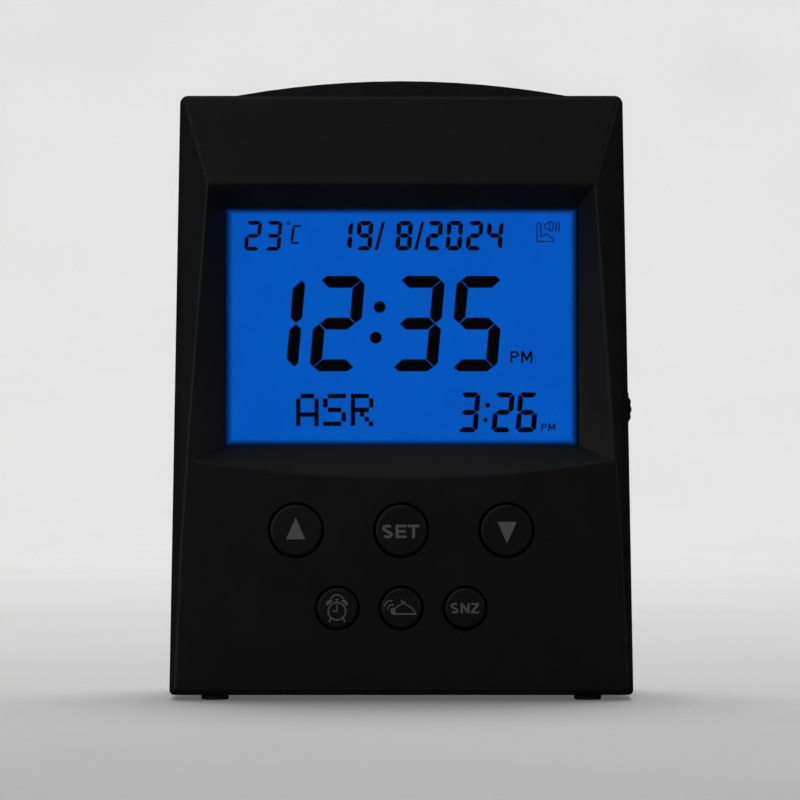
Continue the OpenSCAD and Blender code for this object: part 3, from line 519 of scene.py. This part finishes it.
def stroke(path, width, cap=True):
    """The outline of a line of a given width, with round ends."""
    n = len(path)
    left, right = [], []
    for i, (x, y) in enumerate(path):
        x0, y0 = path[max(i - 1, 0)]
        x1, y1 = path[min(i + 1, n - 1)]
        dx, dy = x1 - x0, y1 - y0
        length = math.hypot(dx, dy)
        nx, ny = -dy / length, dx / length
        grow = 1.0
        if 0 < i < n - 1:
            ax, ay = x - x0, y - y0
            la = math.hypot(ax, ay)
            grow = 1 / max(0.5, abs(ax * ny - ay * nx) / la * 0 + abs((-ay / la) * nx + (ax / la) * ny))
        h = width / 2 * grow
        left.append((x + nx * h, y + ny * h))
        right.append((x - nx * h, y - ny * h))

    def end(p, q):
        """Half a circle round p, going on from q's direction."""
        dx, dy = p[0] - q[0], p[1] - q[1]
        a = math.atan2(dy, dx)
        return [(p[0] + width / 2 * math.cos(a + t), p[1] + width / 2 * math.sin(a + t))
                for t in (math.pi / 3, math.pi / 6, 0, -math.pi / 6, -math.pi / 3)]
    out = list(left)
    if cap:
        out += end(path[-1], path[-2])
    out += right[::-1]
    if cap:
        out += end(path[0], path[1])
    return out


def inset(poly, d):
    """A convex outline moved inwards by d."""
    n = len(poly)
    area_ = sum(poly[i][0] * poly[(i + 1) % n][1] - poly[(i + 1) % n][0] * poly[i][1] for i in range(n))
    s = 1 if area_ > 0 else -1
    lines = []
    for i in range(n):
        (x0, y0), (x1, y1) = poly[i], poly[(i + 1) % n]
        length = math.hypot(x1 - x0, y1 - y0)
        nx, ny = -s * (y1 - y0) / length, s * (x1 - x0) / length
        lines.append((nx, ny, nx * x0 + ny * y0 + d))
    out = []
    for i in range(n):
        a, b, c = lines[i - 1]
        e, f, g = lines[i]
        det = a * f - b * e
        out.append(((c * f - b * g) / det, (a * g - c * e) / det))
    return out


SEGMENTS = {"0": "abcdef", "1": "bc", "2": "abged", "3": "abgcd", "4": "fgbc",
            "5": "afgcd", "6": "afgedc", "8": "abcdefg", "9": "abcdfg"}


def digit(ch, x0, y0, wide, high, thick, slant, gap):
    """Outlines of a slanted seven-segment digit in the frame's pixels."""
    W, H, T = wide, high, thick
    ax, bx, by = 0.8 * T, 0.32 * T, 0.35 * T
    a = [(ax, 0), (W - ax, 0), (W - bx, by), (W - T, T), (T, T), (bx, by)]
    b = [(W - bx, by), (W, 0.68 * T), (W, H / 2 - 0.42 * T), (W - T / 2, H / 2), (W - T, H / 2 - 0.5 * T), (W - T, T)]
    g = [(T / 2, H / 2), (1.08 * T, H / 2 - T / 2), (W - 1.08 * T, H / 2 - T / 2),
         (W - T / 2, H / 2), (W - 1.08 * T, H / 2 + T / 2), (1.08 * T, H / 2 + T / 2)]

    def flip_y(p):
        return [(x, H - y) for x, y in p]

    def flip_x(p):
        return [(W - x, y) for x, y in p]
    shapes = {"a": a, "b": b, "c": flip_y(b), "d": flip_y(a), "e": flip_x(flip_y(b)), "f": flip_x(b), "g": g}
    return [[(x0 + x + slant * (H / 2 - y), y0 + y) for x, y in inset(shapes[s], gap / 2)] for s in SEGMENTS[ch]]


# Letters in a box one unit high, y down; t is the thickness of their strokes.
def letter(ch, w, t):
    h = t * 1.12
    if ch == "E":
        return [[(0, 0), (w, 0), (w, t), (h, t), (h, .5 - t / 2), (w * .9, .5 - t / 2), (w * .9, .5 + t / 2),
                 (h, .5 + t / 2), (h, 1 - t), (w, 1 - t), (w, 1), (0, 1)]]
    if ch == "T":
        return [[(0, 0), (w, 0), (w, t), (w / 2 + h / 2, t), (w / 2 + h / 2, 1), (w / 2 - h / 2, 1), (w / 2 - h / 2, t), (0, t)]]
    if ch == "N":
        k = 2.0 * t
        return [[(0, 1), (0, 0), (h, 0), (w - h, 1 - k), (w - h, 0), (w, 0), (w, 1), (w - h, 1), (h, k), (h, 1)]]
    if ch == "Z":
        return [[(0, 0), (w, 0), (w, t), (1.6 * t, 1 - t), (w, 1 - t), (w, 1), (0, 1), (0, 1 - t), (w - 1.6 * t, t), (0, t)]]
    if ch == "M":
        q = 0.86 - 2.2 * t
        return [[(0, 1), (0, 0), (1.2 * h, 0), (w / 2, q), (w - 1.2 * h, 0), (w, 0), (w, 1), (w - h, 1),
                 (w - h, 2.4 * t), (w / 2, 0.9), (h, 2.4 * t), (h, 1)]]
    if ch == "P":
        r, b = 0.25, 0.56
        cy, ry = b / 2, b / 2
        outer = [(h, 0)] + [(w - r + r * math.sin(math.pi * i / 8), cy - ry * math.cos(math.pi * i / 8)) for i in range(9)] + [(h, b)]
        ri, rj = r - h, ry - t
        inner = [(h, b - t)] + [(w - r + ri * math.sin(math.pi * i / 8), cy + rj * math.cos(math.pi * i / 8)) for i in range(9)] + [(h, t)]
        return [[(0, 0), (h, 0), (h, 1), (0, 1)], outer + inner]
    if ch == "S":
        rx, ry = w / 2 - t / 2, 0.26 - t / 2 + 0.01
        up = [(w / 2 + rx * math.cos(math.radians(q)), 0.26 - ry * math.sin(math.radians(q))) for q in range(28, 251, 18)]
        low = [(w / 2 + rx * math.cos(math.radians(q)), 0.74 - ry * math.sin(math.radians(q))) for q in range(72, -153, -18)]
        return [stroke(up + low, t * 1.05, cap=False)]
    raise ValueError(ch)


def word(text, x0, y0, height, widths, gap, thick):
    """Outlines of a word in the frame's pixels."""
    out, x = [], x0
    for ch, w in zip(text, widths):
        for p in letter(ch, w / height, thick):
            out.append([(x + px * height, y0 + py * height) for px, py in p])
        x += w + gap
    return out


# ---------------------------------------------------------------- what the display shows
SEG0, SEG1 = 8.25, 8.29


def shown(name, polys, mat, rings=()):
    bm = bmesh.new()
    for p in polys:
        prism(bm, p, SEG0, SEG1, on_lcd)
    for outer, inner in rings:
        ring(bm, outer, inner, SEG0, SEG1, on_lcd)
    return piece(name, bm, mat, "case")


S = 0.08
big = [digit(c, x, 275.5, 48.6, 96.0, 12.5, S + 0.008, 0.6) for c, x in (("1", 253.4), ("2", 313.0), ("3", 393.0), ("5", 452.7))]
shown("display_hours_minutes", sum(big, []) + [circle(379.7, 306.9, 5.9, 24), circle(375.7, 337.6, 5.9, 24)], MATS["segments"])
small = [digit(c, x - 0.2, 220.7, 16.2, 30.1, 4.2, S, 0.35) for c, x in (("2", 245.2), ("3", 265.6))]
shown("display_temperature", sum(small, []), MATS["segments"])
date = [digit(c, x - 0.3, 220.6, 16.5, 30.0, 5.0, 0.07, 0.45) for c, x in
        (("1", 336.4), ("9", 356.6), ("8", 396.2), ("2", 426.2), ("0", 446.4), ("2", 466.6), ("4", 486.8))]
slashes = [[(x - 1.6, 249.9), (x + 5.6, 221.7), (x + 8.7, 221.7), (x + 1.5, 249.9)] for x in (376.3, 415.6)]
shown("display_date", sum(date, []) + slashes, MATS["segments"])
alarm = [digit(c, x - 0.3, 392.0, 20.9, 40.4, 5.6, S, 0.45) for c, x in (("3", 458.6), ("2", 492.9), ("6", 516.9))]
shown("display_next_time", sum(alarm, []) + [circle(487.6, 404.9, 2.5, 16), circle(485.4, 419.9, 2.3, 16)], MATS["segments"])

DOTS = {"A": (".XXX.", "X...X", "X...X", "X...X", "XXXXX", "X...X", "X...X"),
        "S": (".XXXX", "X....", "X....", ".XXX.", "....X", "....X", "XXXX."),
        "R": ("XXXX.", "X...X", "X...X", "XXXX.", "X.X..", "X..X.", "X...X")}
dots = []
for ch, x0 in (("A", 296.0), ("S", 323.2), ("R", 350.7)):
    for r, row in enumerate(DOTS[ch]):
        for c, on in enumerate(row):
            if on == "X":
                x, y = x0 + 4.56 * c, 393.6 + 4.63 * r
                q, dw, dh = 0.35, 4.5, 4.58
                dots.append([(x + q, y), (x + dw - q, y), (x + dw, y + q), (x + dw, y + dh - q),
                             (x + dw - q, y + dh), (x + q, y + dh), (x, y + dh - q), (x, y + q)])
shown("display_prayer_name", dots, MATS["segments"])
shown("display_pm", word("PM", 510.3, 351.0, 11.9, (8.6, 11.2), 2.2, 0.15), MATS["segments"])
shown("display_pm_small", word("PM", 541.2, 423.4, 7.7, (5.6, 7.2), 1.4, 0.165), MATS["marks"])

# degree mark and thin C
c_bar = [[(293.2, 225.0), (301.6, 225.2), (300.4, 226.8), (292.9, 226.9)],
         [(292.0, 227.5), (294.9, 227.3), (293.3, 241.2), (290.6, 241.6)],
         [(290.4, 242.1), (299.2, 241.9), (298.2, 243.7), (290.9, 243.9)]]
shown("display_degrees", c_bar, MATS["segments"], [(circle(288.5, 223.1, 1.9, 16), circle(288.5, 223.1, 0.9, 16))])

# corner mark: a minaret, a dome and a loudspeaker with its waves
marks = [
    stroke([(536.9, 240.6), (536.9, 224.4), (538.8, 222.4), (540.8, 224.4), (540.8, 237.0), (543.6, 235.9),
            (545.2, 234.4), (546.5, 233.6), (547.9, 234.6), (550.0, 236.4), (552.6, 238.4), (553.7, 240.6)], 1.2, False),
    [(536.4, 240.8), (554.4, 240.8), (554.4, 241.9), (536.4, 241.9)],
    [(544.1, 224.0), (545.4, 224.0), (545.4, 228.3), (544.1, 228.3)],
    stroke([(545.6, 224.2), (550.3, 221.3)], 1.1, False),
    stroke([(545.6, 228.1), (550.3, 231.0)], 1.1, False),
    stroke([(555.2, 222.4), (556.3, 225.8), (556.0, 229.2), (554.8, 231.4)], 1.25),
    stroke([(558.3, 221.6), (559.3, 225.6), (559.0, 229.4), (558.0, 231.9)], 1.25)]
shown("display_corner_mark", marks, MATS["marks"], [(circle(551.4, 226.1, 2.3, 20, 5.4), circle(551.4, 226.1, 1.2, 20, 4.1))])

# ---------------------------------------------------------------- legends on the keys
INK0, INK1 = -0.825, -0.79


def legend(name, body, polys, rings=(), dx=0.0):
    bm = bmesh.new()
    for p in polys:
        prism(bm, p, INK0, INK1, on_key(dx))
    for outer, inner in rings:
        ring(bm, outer, inner, INK0, INK1, on_key(dx))
    return piece(name, bm, MATS["legend"], body)


legend("legend_up", "button_up", [[(295.9, 517.6), (305.4, 539.3), (286.4, 539.3)]], dx=-0.25)
legend("legend_down", "button_down", [[(497.8, 521.9), (516.8, 521.9), (507.3, 543.7)]], dx=-0.25)
legend("legend_set", "button_set", word("S", 381.6, 524.8, 13.3, (10.3,), 0, 0.19)
       + word("ET", 394.9, 524.8, 13.3, (11.0, 11.3), 1.3, 0.19), dx=0.7)
legend("legend_snooze", "button_snooze", word("S", 449.9, 603.1, 10.2, (8.0,), 0, 0.185)
       + word("NZ", 460.1, 603.1, 10.2, (9.0, 8.1), 1.4, 0.185), dx=0.5)

cx, cy = 336.7, 611.3


def bell(side):
    a = math.radians(42)
    bx, by = cx + side * 10.7 * math.sin(a), cy - 10.7 * math.cos(a)
    ux, uy = side * math.sin(a), -math.cos(a)
    tx, ty = -uy, ux
    return [(bx + 3.9 * math.cos(q) * tx + 3.3 * math.sin(q) * ux, by + 3.9 * math.cos(q) * ty + 3.3 * math.sin(q) * uy)
            for q in [math.pi * i / 12 for i in range(13)]]


clock = [bell(-1), bell(1),
         stroke([(cx, cy + 0.3), (cx, cy - 6.0)], 1.3), stroke([(cx - 0.9, cy), (cx - 4.0, cy)], 1.2),
         stroke(arc(cx, 602.0, 7.0, 28, 152, 14), 1.3),
         [(cx - 0.6, 600.1), (cx - 1.7, 600.1), (cx - 1.7, 599.0), (cx + 1.7, 599.0), (cx + 1.7, 600.1),
          (cx + 0.6, 600.1), (cx + 0.6, 601.8), (cx - 0.6, 601.8)],
         stroke([(cx - 6.4, 618.6), (cx - 7.6, 621.5)], 1.6), stroke([(cx + 6.4, 618.6), (cx + 7.6, 621.5)], 1.6)]
legend("legend_alarm", "button_alarm", clock, [(circle(cx, cy, 9.4, 48), circle(cx, cy, 7.9, 48))], dx=0.25)

dome = [stroke([(395.4, 608.2), (397.0, 606.6), (399.0, 605.3), (401.0, 604.4), (402.2, 603.5), (403.0, 602.6),
                (403.8, 603.4), (405.2, 604.4), (408.0, 605.9), (411.0, 607.8), (413.4, 610.2), (415.0, 612.6)], 1.15),
        [(395.1, 613.2), (416.0, 613.2), (416.2, 614.0), (416.0, 614.8), (393.4, 614.8), (391.9, 614.3), (390.9, 613.2),
         (390.4, 611.6), (390.5, 609.6), (391.2, 608.3), (392.2, 607.9), (394.4, 607.9), (395.0, 608.9)],
        stroke([(384.4, 606.2), (385.3, 603.6), (386.7, 601.9), (388.7, 600.9), (391.6, 601.0)], 1.35),
        stroke([(387.5, 608.9), (388.2, 606.9), (389.2, 605.5), (390.7, 604.8), (393.1, 604.7)], 1.3),
        [(403.1 + 2.5 * math.cos(q), 600.5 + 2.5 * math.sin(q)) for q in [math.radians(-20 + 15 * i) for i in range(15)]]
        + [(403.7 + 1.75 * math.cos(q), 599.9 + 1.75 * math.sin(q)) for q in [math.radians(182 - 14 * i) for i in range(13)]]]
legend("legend_azan", "button_azan", dome, dx=0.25)

# ---------------------------------------------------------------- AA cells
m = Mat("cell_label", (0.10, 0.16, 0.14), 0.3, spec=0.5)
fine_lines = m.math("FRACT", m.math("MULTIPLY", m.split(m.mm)[0], 0.9))
sheen = m.noise(1.2, 3, 0.6, stretch=(1, 0.3, 0.3))
m.color(m.mix(m.range(fine_lines, 0.42, 0.5), (0.085, 0.14, 0.12), (0.10, 0.165, 0.145)))
m.rough(m.range(sheen, 0.3, 0.7, 0.24, 0.36))
m.bump(sheen, 0.000008, 0.4)
MATS["cell_label"] = m
MATS["cell_band"] = plastic("cell_band", (0.42, 0.43, 0.42), 0.28, grain=0.8, depth=0.000006, spec=0.6, vary=0.04)
MATS["cell_cap"] = metal("cell_steel", (0.75, 0.75, 0.74), 0.22)


def lathe(bm, profile, origin, axis, steps=64):
    """Adds a turned shape: profile is [(distance along the axis, radius, material)]."""
    axis = Vector(axis).normalized()
    u = axis.orthogonal().normalized()
    q = axis.cross(u)
    rows = []
    for d, r, _ in profile:
        if r <= 1e-9:
            rows.append([bm.verts.new(origin + axis * d)])
        else:
            rows.append([bm.verts.new(origin + axis * d + (u * math.cos(2 * math.pi * i / steps)
                                                          + q * math.sin(2 * math.pi * i / steps)) * r) for i in range(steps)])
    for k in range(len(rows) - 1):
        a, b = rows[k], rows[k + 1]
        for i in range(steps):
            j = (i + 1) % steps
            if len(a) == 1 and len(b) == 1:
                continue
            if len(a) == 1:
                f = bm.faces.new((a[0], b[i], b[j]))
            elif len(b) == 1:
                f = bm.faces.new((a[i], b[0], a[j]))
            else:
                f = bm.faces.new((a[i], b[i], b[j], a[j]))
            f.material_index = profile[k + 1][2]


for i, side in ((1, 1), (2, -1), (3, 1)):
    lo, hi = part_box(f"battery_{i}")
    r, mid = (hi.z - lo.z) / 2, (hi.z + lo.z) / 2
    L = hi.x - lo.x
    start = Vector((lo.x if side > 0 else hi.x, (lo.y + hi.y) / 2, mid))
    k = 0.001
    prof = [(0.35 * k, 0, 2), (0.35 * k, 3.6 * k, 2), (0.02 * k, 4.1 * k, 2), (0.02 * k, 5.7 * k, 2), (0.3 * k, 6.1 * k, 2),
            (0.3 * k, 6.3 * k, 0), (0.1 * k, 6.5 * k, 0), (0.18 * k, 6.85 * k, 0), (0.55 * k, r, 0),
            (L - 14.0 * k, r, 0), (L - 13.98 * k, r, 1), (L - 2.4 * k, r, 1), (L - 1.75 * k, r - 0.0002, 1), (L - 1.42 * k, r - 0.0008, 1),
            (L - 1.40 * k, r - 0.0016, 1), (L - 1.55 * k, r - 0.0018, 1), (L - 1.6 * k, 4.6 * k, 2), (L - 1.5 * k, 3.4 * k, 2),
            (L - 1.35 * k, 3.0 * k, 2), (L - 1.2 * k, 2.72 * k, 2), (L - 0.35 * k, 2.7 * k, 2), (L - 0.1 * k, 2.55 * k, 2),
            (L - 0.01 * k, 2.2 * k, 2), (L - 0.01 * k, 0, 2)]
    bm = bmesh.new()
    lathe(bm, prof, start, (side, 0, 0))
    o = piece(f"cell_{i}", bm, [MATS["cell_label"], MATS["cell_band"], MATS["cell_cap"]], "case", smooth=40)
    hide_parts(f"battery_{i}")

# ---------------------------------------------------------------- floor
def smooth_step(t):
    t = min(max(t, 0.0), 1.0)
    return t * t * (3 - 2 * t)


# flat under and before the clock, with a wall that curves up behind and beside it
bm = bmesh.new()
centre = bm.verts.new((0, 0, 0))
prof = [(0.7, 0.0), (1.0, 0.0)] + [(1.0 + 1.1 * math.sin(math.radians(a)), 1.1 - 1.1 * math.cos(math.radians(a)))
                                   for a in range(6, 91, 6)] + [(2.1, 2.4)]
rows = []
for i in range(96):
    q = 2 * math.pi * i / 96
    up_ = smooth_step((math.cos(q) - 0.25) / 0.35)
    far = 3 * (1 - up_)
    rows.append([bm.verts.new(((r + far * (r - 0.7)) * math.sin(q), (r + far * (r - 0.7)) * math.cos(q), z * up_))
                 for r, z in prof])
for a, b in zip(rows, rows[1:] + rows[:1]):
    bm.faces.new((centre, b[0], a[0]))
    for k in range(len(prof) - 1):
        bm.faces.new((a[k], b[k], b[k + 1], a[k + 1]))
me = bpy.data.meshes.new("floor")
bm.to_mesh(me)
bm.free()
floor = bpy.data.objects.new("floor", me)
scene.collection.objects.link(floor)
m = Mat("pale_floor", (0.75, 0.75, 0.745), 0.75, spec=0.2)
m.color(m.mix(m.range(m.noise(0.01, 3), 0.3, 0.7), (0.74, 0.74, 0.735), (0.77, 0.77, 0.765)))
me.materials.append(m.m)
me.shade_smooth()
floor.visible_glossy = False        # the pale surround isn't mirrored in the dark case
only_floor = bpy.data.collections.new("floor_only")
only_floor.objects.link(floor)
floor_lights = [floor_light, soft_floor_light]
for o in floor_lights:
    o.light_linking.receiver_collection = only_floor
# part of the floor's light is stopped by the feet only, so the gap under the case isn't black
feet = bpy.data.collections.new("feet_only")
for name in NODES:
    if name.startswith("foot"):
        feet.objects.link(NODES[name])
soft_floor_light.light_linking.blocker_collection = feet


def spared(name, objects):
    """A set of receivers that holds everything but the given objects."""
    c = bpy.data.collections.new(name)
    for i, o in enumerate(objects):
        c.objects.link(o)
        c.collection_objects[i].light_linking.link_state = "EXCLUDE"
    return c


# the window isn't lit either, so that no lamp glares in front of the display
no_floor = spared("all_but_floor", [floor, NODES["lcd_lens"]])
rear_only = spared("rear_parts", [floor, NODES["lcd_lens"], NODES["front_shell"]])
for o in LIGHTS:
    if o not in floor_lights:
        o.light_linking.receiver_collection = rear_only if o.name.startswith("rear") else no_floor
